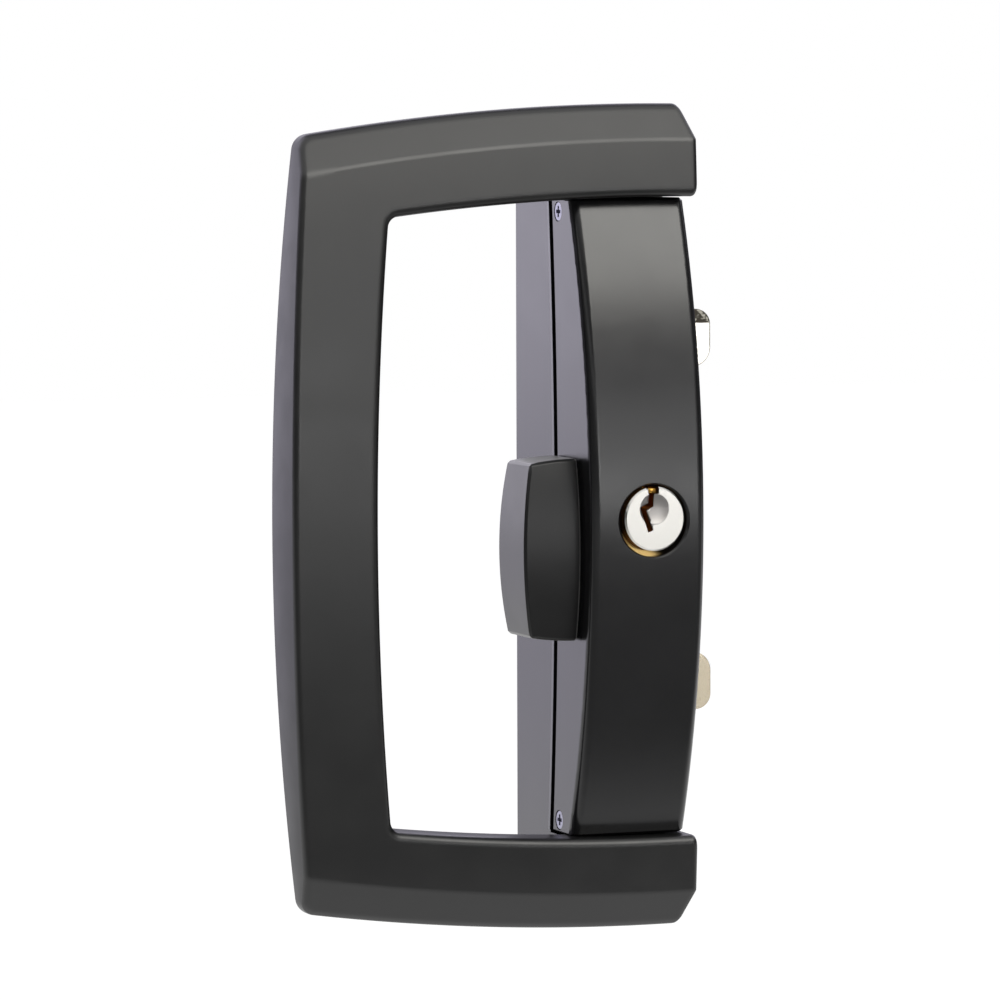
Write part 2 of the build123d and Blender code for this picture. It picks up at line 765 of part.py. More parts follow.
with BuildPart() as key_plug:
    with BuildSketch(front_plane(plug_back)):
        with Locations(hub_centre):
            Circle(plug_radius)
    extrude(amount=plug_front - plug_back)
    chamfer(key_plug.edges().group_by(Axis.Y)[0], plug_rim)
    with Locations(dish_place):
        Sphere(dish_sphere, mode=Mode.SUBTRACT)
    with BuildSketch(front_plane(plug_back)):
        with Locations(hub_centre):
            with BuildLine():
                Polyline(
                    (keyway_x, keyway_top),
                    (keyway_x, keyway_knee),
                    (-keyway_step_x, keyway_step_z),
                    (0, -keyway_foot_z),
                )
            trace(line_width=keyway_width)
        with Locations((cylinder_x + keyway_x + keyway_width / 2, plug_z + keyway_top)):
            head_align = (Align.MAX, Align.MAX)
            Rectangle(keyway_head_width, keyway_head_height, align=head_align)
    extrude(amount=plug_front - plug_back, mode=Mode.SUBTRACT)
    with BuildSketch(Plane.XY.offset(plug_z + key_pin_root)):
        with Locations(*[(cylinder_x, -depth) for depth in pin_depths]):
            Circle(pin_radius + pin_fit)
    extrude(amount=plug_radius - key_pin_root, mode=Mode.SUBTRACT)
    with BuildSketch(front_plane(plug_back)):
        with Locations(hub_centre):
            Rectangle(tail_size, tail_size)
    extrude(amount=cam_back - plug_back)
    with BuildSketch(front_plane(cam_back)):
        with Locations(hub_centre):
            Circle(cam_screw_radius + screw_fit)
    extrude(amount=cam_screw_length + core_end_room, mode=Mode.SUBTRACT)
save(key_plug, "key_plug")

# Pins and springs of the cylinder, set at the shear line
driver_foot = shear_z + plug_fit
spring_foot = driver_foot + driver_pin_length

with BuildPart() as key_pins:
    with BuildSketch(Plane.XY.offset(plug_z + key_pin_root)):
        with Locations(*[(cylinder_x, -depth) for depth in pin_depths]):
            Circle(pin_radius)
    extrude(amount=plug_radius - shear_drop - key_pin_root)
save(key_pins, "key_pins")

with BuildPart() as driver_pins:
    with BuildSketch(Plane.XY.offset(driver_foot)):
        with Locations(*[(cylinder_x, -depth) for depth in pin_depths]):
            Circle(pin_radius)
    extrude(amount=driver_pin_length)
save(driver_pins, "driver_pins")

with BuildPart() as pin_springs:
    with BuildSketch(Plane.XY.offset(spring_foot)):
        with Locations(*[(cylinder_x, -depth) for depth in pin_depths]):
            RegularPolygon(pin_radius, spring_sides)
            RegularPolygon(pin_radius - spring_wall, spring_sides, mode=Mode.SUBTRACT)
    extrude(amount=chamber_top - spring_foot)
save(pin_springs, "pin_springs")

# Cam: a D-shaped disc that blocks the drive bar when the plug is turned
with BuildPart() as cylinder_cam:
    with BuildSketch(front_plane(cam_back)):
        with Locations(hub_centre):
            Circle(cam_radius)
        with Locations((cylinder_x - cam_flat, plug_z)):
            flat_align = (Align.MAX, Align.CENTER)
            Rectangle(cam_radius, 2 * cam_radius, align=flat_align, mode=Mode.SUBTRACT)
    extrude(amount=cam_thickness)
    with BuildSketch(front_plane(cam_back + cam_thickness)):
        with Locations(hub_centre):
            Circle(cam_hub_radius)
    extrude(amount=plug_back - cam_back - cam_thickness)
    with BuildSketch(front_plane(cam_back)):
        with Locations(hub_centre):
            Rectangle(tail_size + 2 * tail_fit, tail_size + 2 * tail_fit)
    extrude(amount=plug_back - cam_back, mode=Mode.SUBTRACT)
save(cylinder_cam, "cylinder_cam")

# Retainer: a U-shaped plate that holds the shoulder against the cover
retainer_back = shoulder_depth - retainer_thickness

with BuildPart() as cylinder_retainer:
    with BuildSketch(front_plane(retainer_back)):
        with Locations((cylinder_x, -retainer_bottom)):
            retainer_align = (Align.CENTER, Align.MIN)
            Rectangle(retainer_width, retainer_bottom + retainer_top, align=retainer_align)
        with Locations(barrel_centre):
            Circle(barrel_radius + retainer_fit, mode=Mode.SUBTRACT)
            slot_align = (Align.CENTER, Align.MIN)
            slot_width = 2 * (barrel_radius + retainer_fit)
            Rectangle(slot_width, barrel_radius, align=slot_align, mode=Mode.SUBTRACT)
        with Locations(*retainer_posts):
            Circle(small_screw_radius + screw_clearance, mode=Mode.SUBTRACT)
    extrude(amount=retainer_thickness)
save(cylinder_retainer, "cylinder_retainer")

# Friction spring: a bowed leaf that presses on the back of the drive bar
leaf_line = leaf_seat + leaf_thickness / 2
leaf_crown = bar_depth - leaf_gap - leaf_thickness / 2
leaf_end = leaf_length / 2

with BuildPart() as slide_spring:
    with BuildSketch(side_plane(leaf_width / 2 - leaf_x)):
        with BuildLine():
            Line((leaf_line, -leaf_end - leaf_foot), (leaf_line, -leaf_end))
            ThreePointArc((leaf_line, -leaf_end), (leaf_crown, 0), (leaf_line, leaf_end))
            Line((leaf_line, leaf_end), (leaf_line, leaf_end + leaf_foot))
        trace(line_width=leaf_thickness)
    extrude(amount=leaf_width)
save(slide_spring, "slide_spring")


def cheese_screws(seat, places, radius, length, head_radius, head_height):
    """Cheese-head screws with a cross recess; the seat plane faces out of the heads."""
    with BuildPart() as screws:
        with BuildSketch(seat):
            with Locations(*places):
                Circle(head_radius)
        extrude(amount=head_height)
        with BuildSketch(seat):
            with Locations(*places):
                Circle(radius)
        extrude(amount=-length)
        with BuildSketch(seat.offset(head_height)):
            with Locations(*places):
                Rectangle(cross_length_share * head_radius, cross_width)
                Rectangle(cross_width, cross_length_share * head_radius)
        extrude(amount=-cross_depth, mode=Mode.SUBTRACT)
    return screws


def flat_screws(seat, places, radius, length, head_radius):
    """Countersunk screws with a cross recess; the seat plane is the top of the heads."""
    with BuildPart() as screws:
        with Locations(seat):
            with Locations(*places):
                Cone(
                    bottom_radius=head_radius,
                    top_radius=radius,
                    height=head_radius - radius,
                    rotation=(180, 0, 0),
                    align=(Align.CENTER, Align.CENTER, Align.MIN),
                )
        with BuildSketch(seat):
            with Locations(*places):
                Circle(radius)
        extrude(amount=-length)
        with BuildSketch(seat):
            with Locations(*places):
                Rectangle(cross_length_share * head_radius, cross_width)
                Rectangle(cross_width, cross_length_share * head_radius)
        extrude(amount=-cross_depth, mode=Mode.SUBTRACT)
    return screws


# Screws
keeper_screws = cheese_screws(
    front_plane(keeper_depth + keeper_thickness),
    both_ends(keeper_boss_x, keeper_boss_z),
    small_screw_radius,
    keeper_thickness + keeper_screw_bite,
    small_head_radius,
    small_head_height,
)
save(keeper_screws, "keeper_screws")

retainer_screws = cheese_screws(
    back_plane(retainer_back),
    [(z, x) for x, z in retainer_posts],
    small_screw_radius,
    retainer_thickness + retainer_screw_bite,
    small_head_radius,
    small_head_height,
)
save(retainer_screws, "retainer_screws")

cam_screw = cheese_screws(
    back_plane(cam_back),
    [(plug_z, cylinder_x)],
    cam_screw_radius,
    cam_screw_length,
    cam_screw_head_radius,
    cam_screw_head_height,
)
save(cam_screw, "cam_screw")

cover_screw_seat = cover_screw_recess + cover_screw_head_height - half_body
cover_screw_length = cover_wall - cover_screw_recess - cover_screw_head_height + part_gap + cover_screw_bite
for side, place in ((1, "top"), (-1, "bottom")):
    cover_screw = cheese_screws(
        side_plane(cover_screw_seat),
        [(cover_screw_depth, side * cover_screw_z)],
        cover_screw_radius,
        cover_screw_length - core_end_room,
        cover_screw_head_radius,
        cover_screw_head_height,
    )
    save(cover_screw, f"cover_screw_{place}")

lever_screws = flat_screws(
    inner_side_plane(tab_thickness - bar_width / 2),
    [(-depth, bar_middle + z) for depth, z in lever_screw_places],
    lever_screw_radius,
    lever_screw_length,
    lever_screw_head_radius,
)
save(lever_screws, "lever_screws")

handle_screws = flat_screws(
    back_plane(handle_screw_sunk),
    [(z, x) for x, z in both_ends(-handle_screw_x, post_spacing / 2)],
    handle_screw_radius,
    end_block_depth + handle_screw_bite - handle_screw_sunk,
    handle_screw_head_radius - handle_screw_sunk - screw_fit,
)
save(handle_screws, "handle_screws")
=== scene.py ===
import json

import bmesh
import bpy
import numpy as np
from mathutils import Matrix, Vector

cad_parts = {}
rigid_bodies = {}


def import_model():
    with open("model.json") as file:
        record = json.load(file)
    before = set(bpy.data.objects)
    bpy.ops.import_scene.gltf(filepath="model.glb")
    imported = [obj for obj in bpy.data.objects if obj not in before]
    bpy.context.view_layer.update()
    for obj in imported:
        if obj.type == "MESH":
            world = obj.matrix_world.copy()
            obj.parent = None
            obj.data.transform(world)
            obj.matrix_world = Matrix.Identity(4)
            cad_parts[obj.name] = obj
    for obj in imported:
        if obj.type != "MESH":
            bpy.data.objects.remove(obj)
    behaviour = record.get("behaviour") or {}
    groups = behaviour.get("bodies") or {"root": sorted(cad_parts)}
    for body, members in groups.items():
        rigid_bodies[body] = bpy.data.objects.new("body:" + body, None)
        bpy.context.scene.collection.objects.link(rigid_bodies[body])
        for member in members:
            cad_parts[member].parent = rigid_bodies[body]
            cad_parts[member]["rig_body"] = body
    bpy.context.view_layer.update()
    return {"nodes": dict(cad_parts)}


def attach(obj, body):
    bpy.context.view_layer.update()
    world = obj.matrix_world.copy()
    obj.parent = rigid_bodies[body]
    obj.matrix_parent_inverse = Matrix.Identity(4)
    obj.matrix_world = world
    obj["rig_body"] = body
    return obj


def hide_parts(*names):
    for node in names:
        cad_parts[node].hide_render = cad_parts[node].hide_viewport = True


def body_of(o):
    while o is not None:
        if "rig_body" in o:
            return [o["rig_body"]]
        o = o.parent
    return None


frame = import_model()
nodes = frame["nodes"]
mm = 0.001
mergeDistance = {"new": 1e-7, "cad": 2e-6}    # metres, for points of new pieces and of CAD meshes
print("frame loaded:", len(nodes), "nodes")


# Helpers

def fromHex(text):
    # sRGB hex to linear: ((c + 0.055) / 1.055) ** 2.4 above 0.04045, else c / 12.92
    channels = [int(text[i:i + 2], 16) / 255 for i in (1, 3, 5)]
    linear = [((c + 0.055) / 1.055) ** 2.4 if c > 0.04045 else c / 12.92 for c in channels]
    return (*linear, 1.0)


def addNode(tree, kind, settings=None):
    # one shader node: a key in small letters is a property, any other key an input that takes a value or is
    # linked to the output given for it
    node = tree.nodes.new("ShaderNode" + kind)
    for key, value in (settings or {}).items():
        if isinstance(key, str) and key[0].islower():
            setattr(node, key, value)
        elif isinstance(value, bpy.types.NodeSocket):
            tree.links.new(value, node.inputs[key])
        else:
            node.inputs[key].default_value = value
    return node


def fade(tree, value, edges, low=0.0, high=1.0):
    # low + (high - low) * smoothstep between the first two edges, and with four edges that times
    # 1 - smoothstep between the last two; low and high are numbers or outputs
    settings = {"interpolation_type": "SMOOTHSTEP", "From Min": edges[0], "From Max": edges[1],
                "To Min": low, "To Max": high, 0: value}
    rise = addNode(tree, "MapRange", settings).outputs[0]
    if len(edges) == 2:
        return rise
    settings.update({"From Min": edges[2], "From Max": edges[3], "To Min": 1.0, "To Max": 0.0})
    fall = addNode(tree, "MapRange", settings).outputs[0]
    return addNode(tree, "Math", {"operation": "MULTIPLY", 0: rise, 1: fall}).outputs[0]


def startMaterial(name):
    # an empty material, its Object coordinates and its output
    material = bpy.data.materials.new(name)
    material.use_nodes = True
    tree = material.node_tree
    tree.nodes.clear()
    place = addNode(tree, "TexCoord").outputs["Object"]
    return material, tree, place, addNode(tree, "OutputMaterial")


def meshPiece(name, points, faces, material, body, sharpAngle=None):
    # points are (x, depth, z) in millimetres; depth counts out of the door leaf, so y = -depth; points in one
    # place are merged, and edges under sharpAngle degrees are smooth
    points = np.asarray(points, dtype=float).reshape(-1, 3)
    places = np.column_stack((points[:, 0], -points[:, 1], points[:, 2])) * mm
    mesh = bpy.data.meshes.new(name)
    mesh.from_pydata(places, [], faces)
    work = bmesh.new()
    work.from_mesh(mesh)
    bmesh.ops.remove_doubles(work, verts=work.verts, dist=mergeDistance["new"])
    bmesh.ops.recalc_face_normals(work, faces=work.faces)
    work.to_mesh(mesh)
    work.free()
    mesh.shade_smooth()
    if sharpAngle:
        mesh.set_sharp_from_angle(angle=np.radians(sharpAngle))
    mesh.materials.append(material)
    piece = bpy.data.objects.new(name, mesh)
    bpy.context.collection.objects.link(piece)
    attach(piece, body)
    return piece


def gridFaces(rows, columns, wrap=False, start=0):
    # quads (i, j), (i, j + 1), (i + 1, j + 1), (i + 1, j) of a grid stored row by row from start; wrap joins
    # the last column to the first
    i = np.arange(rows - 1)[:, None]
    j = np.arange(columns if wrap else columns - 1)[None, :]
    jNext = (j + 1) % columns
    corners = (i * columns + j, i * columns + jNext, (i + 1) * columns + jNext, (i + 1) * columns + j)
    return (np.stack(np.broadcast_arrays(*corners), axis=-1).reshape(-1, 4) + start).tolist()


def finishCopy(node, material, edge, sharpAngle=32, flatAngle=0.5):
    # a merged copy of a CAD node: facets within flatAngle degrees joined, corners sharper than sharpAngle
    # degrees broken by edge mm, smooth where it is round
    mesh = nodes[node].data.copy()
    mesh.name = node + "_finish"
    work = bmesh.new()
    work.from_mesh(mesh)
    bmesh.ops.remove_doubles(work, verts=work.verts, dist=mergeDistance["cad"])
    bmesh.ops.dissolve_limit(work, angle_limit=np.radians(flatAngle), verts=work.verts, edges=work.edges)
    work.to_mesh(mesh)
    work.free()
    mesh.materials.clear()
    mesh.materials.append(material)
    mesh.shade_smooth()
    mesh.set_sharp_from_angle(angle=np.radians(sharpAngle))
    piece = bpy.data.objects.new(node + "_finish", mesh)
    bpy.context.collection.objects.link(piece)
    if edge:
        bevel = piece.modifiers.new("broken edges", "BEVEL")
        bevel.width = edge * mm
        bevel.segments = 2
        bevel.limit_method = "ANGLE"
        bevel.angle_limit = np.radians(sharpAngle)
        bevel.harden_normals = True
    weights = piece.modifiers.new("flat faces", "WEIGHTED_NORMAL")
    weights.keep_sharp = True
    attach(piece, body_of(nodes[node])[0])
    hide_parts(node)


# Camera and light

cameraView = {
    "azimuth": -20.99, "elevation": 3.87, "roll": 0.168,    # degrees
    "distance": 1162.8, "target": (-16.32, 0.0, 2.10),      # mm
    "lens": 200.0, "sensor": 36.0,                          # mm
    "clip": (0.05, 20.0),                                   # metres
}


def placeCamera(values):
    # back = (sin a cos e, -cos a cos e, sin e) and place = target + distance * back; right and up turn by the
    # roll
    a, e, roll = (np.radians(values[key]) for key in ("azimuth", "elevation", "roll"))
    right = np.array((np.cos(a), np.sin(a), 0.0))
    back = np.array((np.sin(a) * np.cos(e), -np.cos(a) * np.cos(e), np.sin(e)))
    up = np.cross(back, right)
    rolledRight = right * np.cos(roll) - up * np.sin(roll)
    rolledUp = right * np.sin(roll) + up * np.cos(roll)
    place = (np.array(values["target"]) + values["distance"] * back) * mm
    data = bpy.data.cameras.new("camera")
    data.lens = values["lens"]
    data.sensor_width = values["sensor"]
    data.clip_start, data.clip_end = values["clip"]
    camera = bpy.data.objects.new("camera", data)
    bpy.context.collection.objects.link(camera)
    turn = Matrix(np.column_stack((rolledRight, rolledUp, back)).tolist()).to_4x4()
    camera.matrix_world = Matrix.Translation(Vector(place.tolist())) @ turn
    bpy.context.scene.camera = camera


def rayKinds(tree):
    # which rays look: camera, and gloss or transmission
    rays = addNode(tree, "LightPath").outputs
    isShiny = addNode(tree, "Math", {"operation": "MAXIMUM", 0: rays["Is Glossy Ray"],
                                     1: rays["Is Transmission Ray"]}).outputs[0]
    return rays["Is Camera Ray"], isShiny


# levels of light, each with the edges between which it comes and goes along the direction's x, y or z
studio = {
    "ambient": 0.50, "white": 1.0,                      # for the light on the object, and for the camera
    # in front: a sky that brightens upwards, with a bright band
    "skyZ": (0.25, 0.8), "skyLow": 0.78, "skyHigh": 1.3,
    "bandZ": (0.38, 0.48, 0.6, 0.7), "band": 0.9,
    # in front: a window on the right, and a strip lamp that falls to the right and is brighter on the left
    "windowX": (0.14, 0.26, 0.5, 0.6), "windowZ": (0.035, 0.12, 0.17, 0.22), "window": 1.3,
    "stripZ": (0.06, 0.085, 0.125, 0.15), "stripSlope": 0.276,
    "stripX": (0.12, 0.3), "stripLeft": 12.48, "stripRight": 5.2,
    # in front: shares of light left on the dark left and far right, which are open again high up
    "leftX": (-0.15, 0.15), "darkLeft": 0.14, "rightX": (0.68, 0.84), "darkRight": 0.1, "openZ": (0.35, 0.8),
    # behind: a wall lit on the left and dark on the right and at its left end, where its edge is bright,
    # and a light above it
    "wallX": (-0.25, 0.1), "wall": 2.2, "wallDark": 0.12, "endX": (-0.66, -0.58), "end": 0.11,
    "edgeX": (-0.66, -0.58, -0.53, -0.46), "edge": 1.6, "rimZ": (0.16, 0.3, 0.7, 0.8), "rim": 2.4,
    "turnY": (0.0, 0.35), "tint": "#f2eeff",
}


def makeWorld(values):
    # gloss sees a studio by direction: front = (sky + band + strip + window) * max(sides, open) and
    # behind = max(wall + edge, rim); camera rays see white and all others the ambient level
    world = bpy.data.worlds.new("studio")
    world.use_nodes = True
    tree = world.node_tree
    tree.nodes.clear()
    direction = addNode(tree, "TexCoord").outputs["Generated"]
    way = addNode(tree, "SeparateXYZ", {0: direction}).outputs
    band = fade(tree, way["Z"], values["bandZ"], 0.0, values["band"])
    windowLevel = fade(tree, way["X"], values["windowX"], 0.0, values["window"])
    window = fade(tree, way["Z"], values["windowZ"], 0.0, windowLevel)
    slant = addNode(tree, "Math", {"operation": "MULTIPLY_ADD", 0: way["X"], 1: values["stripSlope"],
                                   2: way["Z"]}).outputs[0]
    stripLevel = fade(tree, way["X"], values["stripX"], values["stripLeft"], values["stripRight"])
    strip = fade(tree, slant, values["stripZ"], 0.0, stripLevel)
    lights = fade(tree, way["Z"], values["skyZ"], values["skyLow"], values["skyHigh"])
    for light in (band, strip, window):
        lights = addNode(tree, "Math", {"operation": "ADD", 0: lights, 1: light}).outputs[0]
    left = fade(tree, way["X"], values["leftX"], values["darkLeft"], 1.0)
    sides = fade(tree, way["X"], values["rightX"], left, values["darkRight"])
    high = fade(tree, way["Z"], values["openZ"])
    share = addNode(tree, "Math", {"operation": "MAXIMUM", 0: sides, 1: high}).outputs[0]
    front = addNode(tree, "Math", {"operation": "MULTIPLY", 0: lights, 1: share}).outputs[0]
    wall = fade(tree, way["X"], values["wallX"], values["wall"], values["wallDark"])
    wall = fade(tree, way["X"], values["endX"], values["end"], wall)
    edge = fade(tree, way["X"], values["edgeX"], 0.0, values["edge"])
    rim = fade(tree, way["Z"], values["rimZ"], 0.0, values["rim"])
    wall = addNode(tree, "Math", {"operation": "ADD", 0: wall, 1: edge}).outputs[0]
    wall = addNode(tree, "Math", {"operation": "MAXIMUM", 0: wall, 1: rim}).outputs[0]
    gloss = fade(tree, way["Y"], values["turnY"], front, wall)
    isCamera, isShiny = rayKinds(tree)
    lit = addNode(tree, "Mix", {"Factor": isShiny, "A": values["ambient"], "B": gloss}).outputs["Result"]
    level = addNode(tree, "Mix", {"Factor": isCamera, "A": lit, "B": values["white"]}).outputs["Result"]
    cast = fade(tree, way["Y"], values["turnY"], 0.0, isShiny)
    tint = addNode(tree, "Mix", {"data_type": "RGBA", "Factor": cast, 6: fromHex("#ffffff"),
                                 7: fromHex(values["tint"])}).outputs[2]
    background = addNode(tree, "Background", {"Color": tint, "Strength": level}).outputs[0]
    addNode(tree, "OutputWorld", {"Surface": background})
    bpy.context.scene.world = world


softBox = {
    "azimuth": 21.0, "elevation": 38.8,                 # degrees
    "distance": 1.2, "size": (0.80, 0.66),              # metres
    "power": 7.7, "colour": "#fffdf6",                  # watts
}


def makeLamp(values):
    # one soft box: place = distance * (sin a cos e, -cos a cos e, sin e), facing the origin
    a, e = np.radians(values["azimuth"]), np.radians(values["elevation"])
    toLamp = Vector((np.sin(a) * np.cos(e), -np.cos(a) * np.cos(e), np.sin(e)))
    data = bpy.data.lights.new("soft_box", "AREA")
    data.shape = "RECTANGLE"
    data.size, data.size_y = values["size"]
    data.energy = values["power"]
    data.color = fromHex(values["colour"])[:3]
    lamp = bpy.data.objects.new("soft_box", data)
    facing = toLamp.to_track_quat("Z", "Y").to_matrix().to_4x4()
    lamp.matrix_world = Matrix.Translation(toLamp * values["distance"]) @ facing
    lamp.visible_camera = False
    bpy.context.collection.objects.link(lamp)


sweep = {
    "height": -0.13, "size": 6.0,                       # metres, as are the edges below
    # gloss: bright close in front of the object, grey ahead, and as light as the sky far ahead
    "nearY": (-0.17, -0.05), "low": 0.34, "near": 1.3, "farY": (-1.6, -0.4), "far": 0.78,
    # gloss: behind the object lit on the left and dark on the right, like the wall
    "backY": (0.1, 0.9), "backX": (-0.2, 0.05), "back": 1.4, "backDark": 0.12, "tint": "#f2eeff",
    # camera: its own glow and a grey that takes the shadow; light on the object: paper
    "glow": 0.885, "grey": (0.24, 0.24, 0.24, 1.0), "paper": "#ececea",
}


def makeFloor(values):
    # a pale floor that the camera sees white with the shadow left in, and gloss by place: level = smoothsteps
    # along y from far over low to near, and on to the level of the back, a smoothstep along x
    material, tree, place, output = startMaterial("pale_paper_sweep")
    xyz = addNode(tree, "SeparateXYZ", {0: place}).outputs
    near = fade(tree, xyz["Y"], values["nearY"], values["low"], values["near"])
    ahead = fade(tree, xyz["Y"], values["farY"], values["far"], near)
    back = fade(tree, xyz["X"], values["backX"], values["back"], values["backDark"])
    gloss = fade(tree, xyz["Y"], values["backY"], ahead, back)
    isCamera, isShiny = rayKinds(tree)
    level = addNode(tree, "Mix", {"Factor": isShiny, "A": values["glow"], "B": gloss}).outputs["Result"]
    cast = fade(tree, xyz["Y"], values["backY"], 0.0, isShiny)
    tint = addNode(tree, "Mix", {"data_type": "RGBA", "Factor": cast, 6: fromHex("#ffffff"),
                                 7: fromHex(values["tint"])}).outputs[2]
    glow = addNode(tree, "Emission", {"Color": tint, "Strength": level}).outputs[0]
    shaded = addNode(tree, "BsdfDiffuse", {"Color": values["grey"]}).outputs[0]
    seen = addNode(tree, "AddShader", {0: glow, 1: shaded}).outputs[0]
    paper = addNode(tree, "BsdfDiffuse", {"Color": fromHex(values["paper"])}).outputs[0]
    dull = addNode(tree, "MixShader", {0: isCamera, 1: paper, 2: seen}).outputs[0]
    mixed = addNode(tree, "MixShader", {0: isShiny, 1: dull, 2: glow}).outputs[0]
    tree.links.new(mixed, output.inputs["Surface"])
    half = values["size"] / 2
    corners = [(x * half, y * half, values["height"]) for x, y in ((-1, -1), (1, -1), (1, 1), (-1, 1))]
    mesh = bpy.data.meshes.new("floor")
    mesh.from_pydata(corners, [], [(0, 1, 2, 3)])
    mesh.materials.append(material)
    floor = bpy.data.objects.new("floor", mesh)
    bpy.context.collection.objects.link(floor)


bpy.context.scene.view_settings.view_transform = "Standard"
placeCamera(cameraView)
makeWorld(studio)
makeLamp(softBox)
makeFloor(sweep)
print("camera, world, soft box and floor made")


# Materials

# parting line between case and cover, painted on: a matt black groove of painted shade and behind it a rim
# of painted highlight; in mm: depth at its ends, rise at mid height, half height of the line, half width and
# soft edge of the groove, width of the rim, and how far from the middle the sides begin
seam = {"depth": 19.6, "rise": 3.0, "half": 65.3, "width": 0.85, "soft": 0.3, "rim": 1.0, "side": 12.3,
        "grooveShadeColour": "#060608", "rimHighlightColour": "#65656c"}
# black coats: size of the cloud in mm, its share of the roughness, strength of the bump, and where and how
# far the gloss of a textured one fades at a low angle
coat = {"cloud": 9.0, "cloudEdges": (0.3, 0.7), "spread": 0.07, "bump": 0.5, "specular": 0.5,
        "lowAngle": (0.35, 0.66), "lowSpecular": 0.15, "sheenRoughness": 0.4}
# plated and bare metals: size of the cloud in mm, the grain's share of the roughness, and strength of the
# bump
plate = {"cloud": 5.0, "grainEdges": (0.3, 0.7), "spread": 0.15, "bump": 0.4}


def seamLine(tree, place, values):
    # distance from a parabola: away = -y - depth - rise * (1 - (z / half) ** 2), on the sides and between the
    # ends of the line only; gives the share of the groove's painted shade and that of the painted highlight
    # on the rim behind it
    xyz = addNode(tree, "SeparateXYZ", {0: place}).outputs
    height = addNode(tree, "Math", {"operation": "DIVIDE", 0: xyz["Z"], 1: values["half"] * mm}).outputs[0]
    share = addNode(tree, "Math", {"operation": "MULTIPLY", 0: height, 1: height}).outputs[0]
    line = addNode(tree, "Math", {"operation": "MULTIPLY_ADD", 0: share, 1: values["rise"] * mm,
                                  2: -(values["depth"] + values["rise"]) * mm}).outputs[0]
    away = addNode(tree, "Math", {"operation": "SUBTRACT", 0: line, 1: xyz["Y"]}).outputs[0]
    across = addNode(tree, "Math", {"operation": "ABSOLUTE", 0: xyz["X"]}).outputs[0]
    width, soft, rimWidth, side = (values[key] * mm for key in ("width", "soft", "rim", "side"))
    beside = addNode(tree, "Math", {"operation": "GREATER_THAN", 0: across, 1: side}).outputs[0]
    within = addNode(tree, "Math", {"operation": "LESS_THAN", 0: share, 1: 1.0}).outputs[0]
    onSide = addNode(tree, "Math", {"operation": "MULTIPLY", 0: beside, 1: within}).outputs[0]
    groove = fade(tree, away, (-width - soft, -width, width, width + soft), 0.0, onSide)
    rimStart = -width - rimWidth
    return groove, fade(tree, away, (rimStart - soft, rimStart, -width - soft, -width), 0.0, onSide)


def makeBlackCoat(name, dark, light, roughness, peelSize, peelDepth, line=None, textured=False, ior=1.5,
                  sheen=0.0):
    # a black coat: colour = mix(dark, light) and roughness by a soft cloud, bump by a fine peel; sizes in mm;
    # where a line is given, painted shade turns its groove matt black without gloss and a painted highlight
    # makes its rim a shade lighter; a textured coat hides its gloss at a low angle: specular falls by a
    # smoothstep of
    # 1 - cos(angle to the eye)
    material, tree, place, output = startMaterial(name)
    peel = addNode(tree, "TexNoise", {"Scale": 1 / (peelSize * mm), "Detail": 3.0, "Vector": place})
    clouds = addNode(tree, "TexNoise", {"Scale": 1 / (coat["cloud"] * mm), "Detail": 2.0, "Vector": place})
    cloud = clouds.outputs["Fac"]
    tint = addNode(tree, "Mix", {"data_type": "RGBA", "Factor": cloud, 6: fromHex(dark),
                                 7: fromHex(light)}).outputs[2]
    spread = roughness * coat["spread"]
    gloss = fade(tree, cloud, coat["cloudEdges"], roughness - spread, roughness + spread)
    specular = coat["specular"]
    if line:
        groove, rim = seamLine(tree, place, line)
        # the rim's painted highlight first, then the groove's painted shade over it
        for share, colour in ((rim, line["rimHighlightColour"]), (groove, line["grooveShadeColour"])):
            tint = addNode(tree, "Mix", {"data_type": "RGBA", "Factor": share, 6: tint,
                                         7: fromHex(colour)}).outputs[2]
        gloss = addNode(tree, "Math", {"operation": "MAXIMUM", 0: gloss, 1: groove}).outputs[0]
        specular = fade(tree, groove, (0.0, 1.0), specular, 0.0)
    if textured:
        facing = addNode(tree, "LayerWeight", {"Blend": 0.5}).outputs["Facing"]
        specular = fade(tree, facing, coat["lowAngle"], specular, coat["lowSpecular"])
    bump = addNode(tree, "Bump", {"Strength": coat["bump"], "Distance": peelDepth * mm,
                                  "Height": peel.outputs["Fac"]})
    shader = addNode(tree, "BsdfPrincipled", {
        "Base Color": tint, "Roughness": gloss, "IOR": ior, "Specular IOR Level": specular,
        "Sheen Weight": sheen, "Sheen Roughness": coat["sheenRoughness"], "Normal": bump.outputs[0]})
    tree.links.new(shader.outputs[0], output.inputs["Surface"])
    return material


def endMetal(tree, output, tint, gloss, grain, strength, depth):
    # metal of a colour and roughness, with bump height = grain * depth in mm
    bump = addNode(tree, "Bump", {"Strength": strength, "Distance": depth * mm, "Height": grain})
    shader = addNode(tree, "BsdfPrincipled", {
        "Metallic": 1.0, "Base Color": tint, "Roughness": gloss, "Normal": bump.outputs[0]})
    tree.links.new(shader.outputs[0], output.inputs["Surface"])


